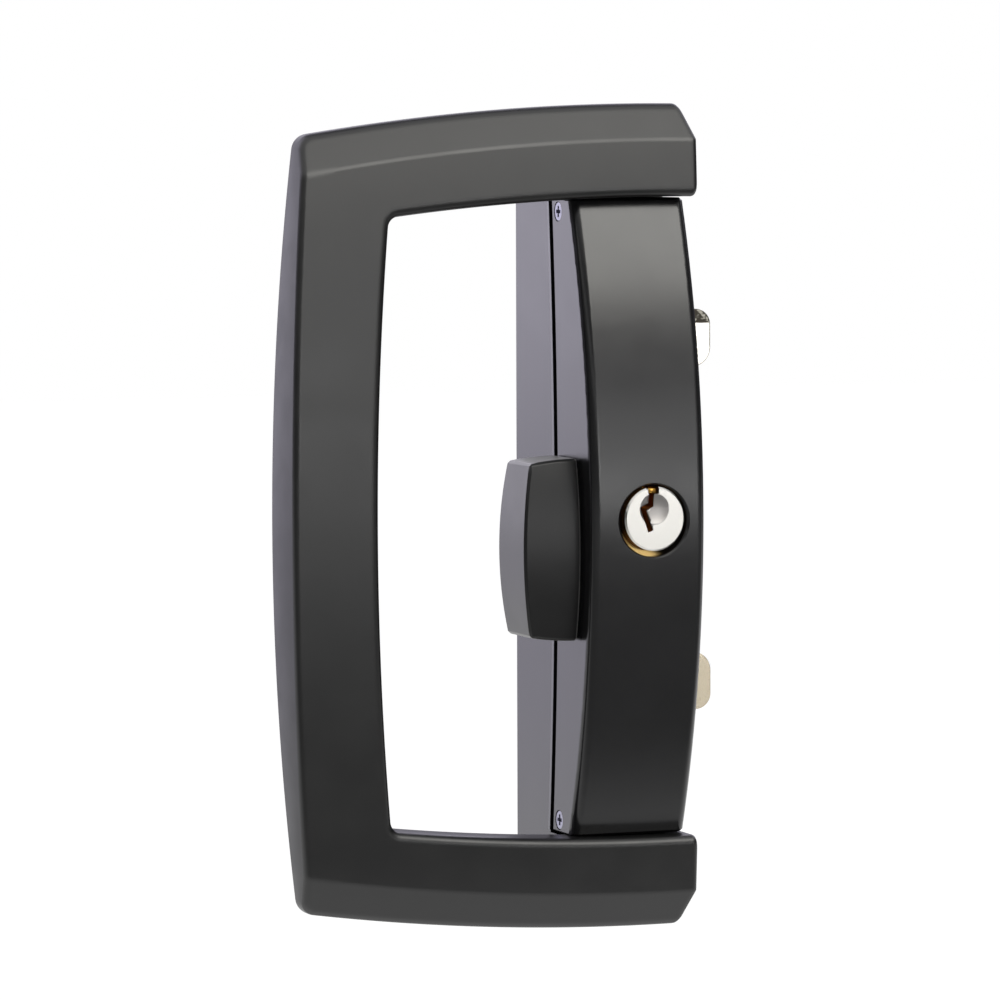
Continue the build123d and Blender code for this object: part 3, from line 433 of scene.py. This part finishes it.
def makePlatedMetal(name, dark, light, roughness, grainSize, stretch=(1, 1, 1), bumpDepth=0.004):
    # plated or bare metal: colour = mix(dark, light) by a cloud, roughness and bump by a grain; sizes in mm
    material, tree, place, output = startMaterial(name)
    mapped = addNode(tree, "Mapping", {"Scale": stretch, "Vector": place}).outputs[0]
    grains = addNode(tree, "TexNoise", {"Scale": 1 / (grainSize * mm), "Detail": 4.0, "Vector": mapped})
    clouds = addNode(tree, "TexNoise", {"Scale": 1 / (plate["cloud"] * mm), "Detail": 2.0, "Vector": place})
    grain = grains.outputs["Fac"]
    tint = addNode(tree, "Mix", {"data_type": "RGBA", "Factor": clouds.outputs["Fac"],
                                 6: fromHex(dark), 7: fromHex(light)}).outputs[2]
    start, stop = plate["grainEdges"]
    spread = roughness * plate["spread"]
    gloss = addNode(tree, "MapRange", {"From Min": start, "From Max": stop, "To Min": roughness - spread,
                                       "To Max": roughness + spread, 0: grain}).outputs[0]
    endMetal(tree, output, tint, gloss, grain, plate["bump"], bumpDepth)
    return material


# the painted dark reflection on the upper hook's nose, in blotches: heights in mm between which it begins,
# size of its blotches in mm, and the roughness below and above
noseDarkReflection = {"from": 38.9, "to": 39.2, "blotch": 0.9, "blotchEdges": (0.5, 0.68),
               "dark": "#3f3c36", "light": "#a9a69c", "roughness": (0.24, 0.5)}


def makeDarkReflectionNose(name, base, values):
    # a copy of a plated steel with blotches of painted dark reflection above a height: mix by smoothstep(z)
    material = base.copy()
    material.name = name
    tree = material.node_tree
    shader = next(node for node in tree.nodes if node.type == "BSDF_PRINCIPLED")
    place = addNode(tree, "TexCoord").outputs["Object"]
    height = addNode(tree, "SeparateXYZ", {0: place}).outputs["Z"]
    above = fade(tree, height, (values["from"] * mm, values["to"] * mm))
    scale = 1 / (values["blotch"] * mm)
    blotches = addNode(tree, "TexNoise", {"Scale": scale, "Detail": 2.0, "Vector": place}).outputs["Fac"]
    blotch = fade(tree, blotches, values["blotchEdges"])
    patch = addNode(tree, "Mix", {"data_type": "RGBA", "Factor": blotch,
                                  6: fromHex(values["dark"]), 7: fromHex(values["light"])}).outputs[2]
    plain = shader.inputs["Base Color"].links[0].from_socket
    tint = addNode(tree, "Mix", {"data_type": "RGBA", "Factor": above, 6: plain, 7: patch}).outputs[2]
    tree.links.new(tint, shader.inputs["Base Color"])
    tree.links.new(fade(tree, above, (0.0, 1.0), *values["roughness"]), shader.inputs["Roughness"])
    return material


# key plug: depth of the nickel-plated front, place, radius and soft edge of the dish, whose darker grey is
# painted shade, and size of the turned grain in mm
plug = {"nickel": ("#bebcb8", "#c9c7c2"), "dish": "#9a9795", "brass": "#d9a262", "plateDepth": 42.1,
        "dishPlace": (0.85, -42.9, 2.4), "dishRadius": 3.35, "dishSoft": 0.25, "turned": 0.14,
        "roughness": (0.22, 0.42), "bump": 0.25, "bumpDepth": 0.002}


def makePlugFinish(values):
    # brass plug with a nickel-plated front: bright in front, darker grey and duller in the dish, where the
    # grey is painted shade of the recess, raw brass in the keyway; dish by distance from its middle, keyway
    # by depth
    material, tree, place, output = startMaterial("nickel_plated_brass_plug")
    y = addNode(tree, "SeparateXYZ", {0: place}).outputs["Y"]
    front = -values["plateDepth"] * mm
    inside = addNode(tree, "Math", {"operation": "GREATER_THAN", 0: y, 1: front}).outputs[0]
    centre = tuple(value * mm for value in values["dishPlace"])
    far = addNode(tree, "VectorMath", {"operation": "DISTANCE", 0: place, 1: centre}).outputs["Value"]
    radius = values["dishRadius"]
    dishShade = fade(tree, far, ((radius - values["dishSoft"]) * mm, radius * mm), 1.0, 0.0)
    grains = addNode(tree, "TexNoise", {"Scale": 1 / (values["turned"] * mm), "Detail": 2.0, "Vector": place})
    grain = grains.outputs["Fac"]
    tint = addNode(tree, "Mix", {"data_type": "RGBA", "Factor": grain, 6: fromHex(values["nickel"][0]),
                                 7: fromHex(values["nickel"][1])}).outputs[2]
    # the dish's painted shade, then raw brass in the keyway
    for share, colour in ((dishShade, values["dish"]), (inside, values["brass"])):
        tint = addNode(tree, "Mix", {"data_type": "RGBA", "Factor": share, 6: tint,
                                     7: fromHex(colour)}).outputs[2]
    dull = addNode(tree, "Math", {"operation": "MAXIMUM", 0: inside, 1: dishShade}).outputs[0]
    gloss = fade(tree, dull, (0.0, 1.0), *values["roughness"])
    endMetal(tree, output, tint, gloss, grain, values["bump"], values["bumpDepth"])
    return material


# barrel: depth of its front ring and the ring's soft edge, heights between which the painted shade begins,
# how far they lean with x, and size of the turned grain in mm
barrel = {"paintedShade": "#100e0b", "brass": ("#b5965a", "#c7ab72"), "ring": 38.5, "ringSoft": 0.2,
          "low": -6.5, "high": -4.7, "lean": 0.5, "turned": 0.16,
          "roughness": (0.3, 0.55), "bump": 0.25, "bumpDepth": 0.004}


def makeBarrelBrassWithShade(values):
    # turned brass with painted shade on the narrow front ring, deep in the bore: colour falls from brass at
    # the lit bottom of the ring to near black over its upper part, by a smoothstep of z + lean * x
    material, tree, place, output = startMaterial("brass_barrel_painted_shade")
    xyz = addNode(tree, "SeparateXYZ", {0: place}).outputs
    ring, soft = -values["ring"] * mm, values["ringSoft"] * mm
    front = fade(tree, xyz["Y"], (ring - soft, ring + soft), 1.0, 0.0)
    lean = addNode(tree, "Math", {"operation": "MULTIPLY_ADD", 0: xyz["X"], 1: values["lean"], 2: xyz["Z"]})
    # painted shade over the upper part of the ring, where the bore keeps the light off
    shade = fade(tree, lean.outputs[0], (values["low"] * mm, values["high"] * mm), 0.0, front)
    grains = addNode(tree, "TexNoise", {"Scale": 1 / (values["turned"] * mm), "Detail": 2.0, "Vector": place})
    grain = grains.outputs["Fac"]
    plain = addNode(tree, "Mix", {"data_type": "RGBA", "Factor": grain, 6: fromHex(values["brass"][0]),
                                  7: fromHex(values["brass"][1])}).outputs[2]
    tint = addNode(tree, "Mix", {"data_type": "RGBA", "Factor": shade, 6: plain, 7: fromHex(values["paintedShade"])})
    gloss = fade(tree, shade, (0.0, 1.0), *values["roughness"])
    endMetal(tree, output, tint.outputs[2], gloss, grain, values["bump"], values["bumpDepth"])
    return material


# satin powder coat on the zinc casting of the pull: deep black, soft sheen, fine orange peel
powderCoat = makeBlackCoat("satin_powder_coat", "#111112", "#181818", roughness=0.34, peelSize=0.45,
                           peelDepth=0.010, textured=True)
# black anodised aluminium of the case: a little smoother, with a faint blue cast, and the painted shade and
# highlight of the parting line
anodised = makeBlackCoat("black_anodised_aluminium", "#101011", "#161618", roughness=0.22, peelSize=0.22,
                         peelDepth=0.003, line=seam)
# black enamel of the snib lever: satin, between the two, and pale at a low angle
enamel = makeBlackCoat("black_enamel", "#0f0f10", "#151516", roughness=0.31, peelSize=0.3, peelDepth=0.005,
                       ior=1.37, sheen=0.55)
# zinc plate: pale grey metal with a faint cloudy grain
zincPlate = makePlatedMetal("bright_zinc_plate", "#b4b8bd", "#c8cbce", roughness=0.32, grainSize=0.5)
# nickel-plated steel of the upper hook: very bright, warm silver with the fine lines of a tumbled plate
hookSteel = makePlatedMetal("nickel_plated_steel", "#dedad0", "#efece4", roughness=0.24, grainSize=0.25,
                            stretch=(1, 1, 3))
# the upper hook's nose gets a rough patch of painted dark reflection above its bright flank
hookNoseDarkReflection = makeDarkReflectionNose("steel_nose_painted_dark_reflection", hookSteel, noseDarkReflection)
# the lower hook: the same plate, copied darker and warmer as painted shade, and a little rougher
shadedLowerHookSteel = makePlatedMetal("lower_hook_steel_painted_shade", "#b8ad97", "#cabfab", roughness=0.28, grainSize=0.25,
                            stretch=(1, 1, 3))
# ground steel pins: grey metal, mirror-like along the axis
groundSteel = makePlatedMetal("ground_steel", "#a9abac", "#bcbdbe", roughness=0.2, grainSize=0.12,
                              stretch=(1, 6, 1), bumpDepth=0.002)
# tempered spring steel: darker grey with a brown cast
springSteel = makePlatedMetal("tempered_spring_steel", "#7f7a73", "#938d84", roughness=0.3, grainSize=0.3)
# turned brass: yellow metal with fine rings of the lathe
turnedBrass = makePlatedMetal("turned_brass", "#b98a3c", "#cda04e", roughness=0.3, grainSize=0.16,
                              stretch=(1, 8, 1))
# blackened screw heads, worn to a blue grey
blackOxide = makePlatedMetal("black_oxide_steel", "#8f8f9c", "#9f9fac", roughness=0.4, grainSize=0.3)
# nickel over brass: the pale, bright face of the plug round its duller dish, darkened by painted shade
plugFinish = makePlugFinish(plug)
# turned brass with painted shade over its front ring, leaving a lit gold crescent under the plug
barrelBrass = makeBarrelBrassWithShade(barrel)
print("materials made")

# Pull handle: one casting, made as a section carried along a D-shaped path

pull = {
    # mm: arms, outer and inner edge, bowed front, bevel, rims and the chamfer of an arm's end
    "armRadius": 493.0, "armCentreX": 8.6, "armEnd": 13.75, "endSlant": 0.5,
    "outer": {"top": 84.8, "side": 75.7, "sideRadius": 644.0, "corner": 3.5, "into": 1},
    "inner": {"top": 65.75, "side": 57.4, "sideRadius": 474.0, "corner": 2.4, "into": -1},
    "front": 40.4, "bowRadius": 466.0, "back": 25.0,
    "bevelRise": 7.4, "bevelDrop": 4.2, "bevelFollow": 0.88, "crease": 0.2,
    "outerRim": 1.3, "innerRim": 1.9, "backRim": 2.2, "endRim": 1.2,
    "endChamfer": (2.45, 7.3),
    # numbers of rows and columns; columns crowd where the crease lies, as shares of the width, and rows crowd
    # by a power towards the corner
    "arcSteps": 8, "faceSteps": 42, "creaseSteps": 30, "creaseSpan": (0.34, 0.52),
    "endSteps": 6, "armSteps": 44, "cornerSteps": 22, "sideSteps": 90, "sidePower": 1.6,
}


def outlinePoint(shape, inset, share):
    # one edge of the D, moved into the metal by inset: share 0 to 1 runs along the arm, 1 to 2 round the
    # corner (a circle inside both arcs) and 2 to 3 down the side; each is centre + radius * (sin, cos);
    # the corner's centre lies p from the arm's centre and q from the side's
    step = inset * shape["into"]
    armRadius = pull["armRadius"] - step
    sideRadius = shape["sideRadius"] - step
    bend = shape["corner"] - step
    armX, armZ = pull["armCentreX"], shape["top"] - pull["armRadius"]
    sideX = shape["sideRadius"] - shape["side"]
    p, q = armRadius - bend, sideRadius - bend
    away = np.hypot(sideX - armX, armZ)
    along = (p**2 - q**2 + away**2) / (2 * away)
    across = np.sqrt(p**2 - along**2)
    ux, uz = (sideX - armX) / away, -armZ / away
    cornerX, cornerZ = armX + along * ux - across * uz, armZ + along * uz + across * ux
    startTurn = np.arctan2(cornerX - armX, cornerZ - armZ)
    endTurn = np.arctan2(cornerX - sideX, cornerZ)
    endTurn = np.where(endTurn > startTurn, endTurn - 2 * np.pi, endTurn)
    firstX = armX + armRadius * np.sin(startTurn)
    x = pull["armEnd"] + (firstX - pull["armEnd"]) * np.clip(share, 0, 1)
    z = armZ + np.sqrt(armRadius**2 - (x - armX)**2)
    turn = startTurn + (endTurn - startTurn) * np.clip(share - 1, 0, 1)
    x = np.where(share > 1, cornerX + bend * np.sin(turn), x)
    z = np.where(share > 1, cornerZ + bend * np.cos(turn), z)
    lastZ = sideRadius * np.cos(endTurn)
    sideZ = lastZ * (1 - np.clip(share - 2, 0, 1))
    x = np.where(share > 2, sideX - np.sqrt(sideRadius**2 - sideZ**2), x)
    return x, np.where(share > 2, sideZ, z)


def frontDepth(x, z):
    # min of the bow, front - r + sqrt(r^2 - z^2), and the bevel, base - (drop / rise) * (distance - first),
    # whose base follows the bow by the share bevelFollow along the arm arc; rounded where they meet:
    # min(a, b) - max(k - |a - b|, 0)^2 / (4 k)
    def bowAt(height):
        return pull["front"] - pull["bowRadius"] + np.sqrt(pull["bowRadius"]**2 - height**2)

    z = np.abs(z)
    bow = bowAt(z)
    start = pull["outer"]["top"] - pull["bevelRise"]
    centreZ = pull["outer"]["top"] - pull["armRadius"]
    far = np.hypot(x - pull["armCentreX"], z - centreZ)
    first = pull["armRadius"] - pull["bevelRise"]
    lineZ = centreZ + first * (z - centreZ) / far
    base = bowAt(start) + pull["bevelFollow"] * (bowAt(lineZ) - bowAt(start))
    bevel = base - pull["bevelDrop"] / pull["bevelRise"] * (far - first)
    k = pull["crease"]
    return np.minimum(bow, bevel) - np.maximum(k - np.abs(bow - bevel), 0)**2 / (4 * k)


def makeHandle():
    # columns go across the section (outer rim arc, face, inner rim arc), rows along the D from the upper end
    # to mid height, and the lower half is the mirror image; a rim arc of radius r has inset r (1 - cos t) and
    # drop r (1 - sin t), and the last rows at an end do the same along the arm
    arc = np.linspace(0, np.pi / 2, pull["arcSteps"])
    evenly = np.linspace(0, 1, pull["faceSteps"])[1:-1]
    crease = np.linspace(*pull["creaseSpan"], pull["creaseSteps"])
    face = np.unique(np.round(np.concatenate((evenly, crease)), 5))

    def columns(outerRim, innerRim):
        onFace, onArc = np.zeros_like(face), np.zeros_like(arc)
        outerInset = np.concatenate((outerRim * (1 - np.cos(arc)), onFace + outerRim, onArc + outerRim))
        innerInset = np.concatenate((onArc + innerRim, onFace + innerRim, innerRim * (1 - np.cos(arc[::-1]))))
        weight = np.concatenate((onArc, face, onArc + 1))
        drop = np.concatenate((outerRim * (1 - np.sin(arc)), onFace, innerRim * (1 - np.sin(arc[::-1]))))
        return outerInset, innerInset, weight, drop

    ends = np.linspace(0, np.pi / 2, pull["endSteps"])
    tight = pull["endRim"] * (1 - np.cos(ends))[::-1]
    reach = pull["endRim"] * (1 - np.sin(ends))[::-1]
    arm = np.linspace(0, 1, pull["armSteps"])[1:]
    corner = 1 + np.linspace(0, 1, pull["cornerSteps"])[1:]
    side = 2 + np.linspace(0, 1, pull["sideSteps"])[1:]**pull["sidePower"]
    share = np.concatenate((np.zeros(len(ends)), arm, corner, side))[:, None]
    beyond = np.zeros(len(share) - len(ends))
    endInset = np.concatenate((tight, beyond))[:, None]
    endBack = np.concatenate((reach, beyond))[:, None]

    def sheet(outerRim, innerRim, atFront):
        outerInset, innerInset, weight, drop = columns(outerRim, innerRim)
        xOut, zOut = outlinePoint(pull["outer"], outerInset + endInset, share)
        xIn, zIn = outlinePoint(pull["inner"], innerInset + endInset, share)
        x = xOut + (xIn - xOut) * weight
        z = zOut + (zIn - zOut) * weight
        width, height = pull["endChamfer"]
        knee, foot = pull["outer"]["top"] - height, pull["inner"]["top"]
        cut = np.clip((z - knee) / height, 0, None) * width + endBack
        cut = cut - pull["endSlant"] * np.clip((z - foot) / (knee - foot), 0, 1)
        x = x - cut * np.clip(1 - share, 0, 1)
        depth = frontDepth(x, z) - drop - endInset if atFront else pull["back"] + drop + endInset
        upper = np.stack((x, depth, z), axis=-1)
        lower = upper[:-1][::-1] * (1, 1, -1)
        return np.concatenate((upper, lower))

    frontSheet = sheet(pull["outerRim"], pull["innerRim"], True)
    backSheet = sheet(pull["backRim"], pull["backRim"], False)[:, ::-1]
    ring = np.concatenate((frontSheet, backSheet), axis=1)
    rows, across = ring.shape[:2]
    faces = gridFaces(rows, across, wrap=True)
    j = np.arange(across // 2 - 1)
    cap = np.column_stack((j, j + 1, across - 2 - j, across - 1 - j))
    for row in (0, rows - 1):
        faces += (cap + row * across).tolist()
    piece = meshPiece("pull_handle_casting", ring, faces, powderCoat, "lock_case",
                      sharpAngle=50)
    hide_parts("pull_handle")


posts = {"height": 75.0, "radius": 4.5, "tip": 0.5, "foot": 26.0, "core": 2.1, "coreDepth": 18.5,
         "pitch": 0.8, "thread": 0.16, "edge": 0.4, "lead": 0.1, "mouth": 0.02, "bottom": 0.01,    # mm
         "sides": 48, "rows": 150}


def makePosts():
    # profile turned about the post's axis: point = (r cos t, depth, height + r sin t); in the tapped hole
    # r = core - thread * (0.5 + 0.5 cos(2 pi (depth / pitch - t / 2 pi))), which is a helix
    v = posts
    turn = np.linspace(0, 2 * np.pi, v["sides"], endpoint=False)[None, :]
    outside = np.array([(v["radius"], v["foot"]), (v["radius"], v["tip"] + v["edge"]),
                        (v["radius"] - v["edge"], v["tip"]), (v["core"] + v["edge"], v["tip"]),
                        (v["core"] + v["mouth"], v["tip"] + v["edge"])])
    bore = np.linspace(v["tip"] + v["edge"] + v["lead"], v["coreDepth"], v["rows"])
    radius = np.concatenate((outside[:, 0], np.full(len(bore), v["core"]), (v["bottom"],)))[:, None]
    depth = np.concatenate((outside[:, 1], bore, (v["coreDepth"],)))[:, None]
    wave = 0.5 + 0.5 * np.cos(2 * np.pi * depth / v["pitch"] - turn)
    tapped = (np.arange(len(radius)) >= len(outside)) & (np.arange(len(radius)) < len(radius) - 2)
    r = radius - v["thread"] * wave * tapped[:, None]
    for side, name in ((1, "upper"), (-1, "lower")):
        height = side * v["height"] + r * np.sin(turn)
        points = np.stack(np.broadcast_arrays(r * np.cos(turn), depth, height), axis=-1)
        faces = gridFaces(len(radius), v["sides"], wrap=True)
        piece = meshPiece(f"{name}_fixing_post", points, faces, powderCoat, "lock_case",
                          sharpAngle=40)
        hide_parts("pull_handle")


makeHandle()
makePosts()
print("pull handle and posts made")

# CAD pieces that keep their shape: finish and broken edge in mm

finishes = {
    "base_housing": (anodised, 0.35), "front_cover": (anodised, 0.2), "snib_lever": (enamel, 0.3),
    "keeper_plate": (zincPlate, 0.12), "drive_bar": (zincPlate, 0.12), "upper_beak": (hookNoseDarkReflection, 0.35),
    "lower_beak": (shadedLowerHookSteel, 0.35), "cylinder_body": (barrelBrass, 0.15), "key_plug": (plugFinish, 0.0),
    "cylinder_cam": (zincPlate, 0.12), "cylinder_retainer": (zincPlate, 0.12),
    "slide_spring": (springSteel, 0.05), "key_pins": (turnedBrass, 0.15), "driver_pins": (turnedBrass, 0.15),
    "upper_drive_pin": (groundSteel, 0.15), "lower_drive_pin": (groundSteel, 0.15),
    "upper_beak_pivot": (groundSteel, 0.2), "lower_beak_pivot": (groundSteel, 0.2),
    "cam_screw": (zincPlate, 0.1), "retainer_screws": (zincPlate, 0.1), "keeper_screws": (zincPlate, 0.1),
    "lever_screws": (zincPlate, 0.08), "handle_screws": (zincPlate, 0.1),
    "cover_screw_top": (blackOxide, 0.1), "cover_screw_bottom": (blackOxide, 0.1),
}
for node, (material, edge) in finishes.items():
    finishCopy(node, material, edge)
print("CAD pieces finished")

# Tip of the front pin, seen in the head of the keyway

pinTip = {"left": -0.35, "right": 1.25, "low": 5.75, "high": 6.65, "front": 42.45, "back": 41.6}    # mm


def makePinTip():
    # a small brass block: eight corners, each with x left or right, depth front or back and z low or high
    points = [(pinTip[x], pinTip[depth], pinTip[z]) for x in ("left", "right") for depth in ("front", "back")
              for z in ("low", "high")]
    faces = [(0, 1, 3, 2), (4, 6, 7, 5), (0, 4, 5, 1), (2, 3, 7, 6), (0, 2, 6, 4), (1, 5, 7, 3)]
    body = body_of(nodes["key_plug"])[0]
    piece = meshPiece("front_pin_tip", points, faces, turnedBrass, body)
    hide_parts("key_pins")


makePinTip()

# Springs over the driver pins

springs = {"x": 1.0, "low": 10.07, "high": 15.6, "first": 22.9, "pitch": 3.2, "count": 5,
           "radius": 0.95, "wire": 0.18,    # mm
           "turns": 5, "stepsPerTurn": 28, "sides": 8}


def makeSprings():
    # wire along a helix: centre = (x + R cos t, depth + R sin t, z0 + (z1 - z0) t / 2 pi n), with a tube of
    # radius w round it
    v = springs
    t = np.linspace(0, 2 * np.pi * v["turns"], v["stepsPerTurn"] * v["turns"] + 1)[:, None]
    s = np.linspace(0, 2 * np.pi, v["sides"], endpoint=False)[None, :]
    out = v["radius"] + v["wire"] * np.cos(s)
    rise = (v["high"] - v["low"] - 2 * v["wire"]) * t / t[-1] + v["low"] + v["wire"]
    points, faces = [], []
    for number in range(v["count"]):
        place = v["first"] + v["pitch"] * number
        coil = np.stack(np.broadcast_arrays(v["x"] + out * np.cos(t), place + out * np.sin(t),
                                            rise + v["wire"] * np.sin(s)), axis=-1).reshape(-1, 3)
        start = len(points) * len(coil)
        end = start + len(coil)
        faces += gridFaces(len(t), v["sides"], wrap=True, start=start)
        faces += [list(range(start, start + v["sides"])), list(range(end - v["sides"], end))]
        points.append(coil)
    points = np.concatenate(points)
    piece = meshPiece("pin_spring_coils", points, faces, springSteel, "lock_case",
                      sharpAngle=60)
    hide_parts("pin_springs")


makeSprings()
print("pin tip and springs made")
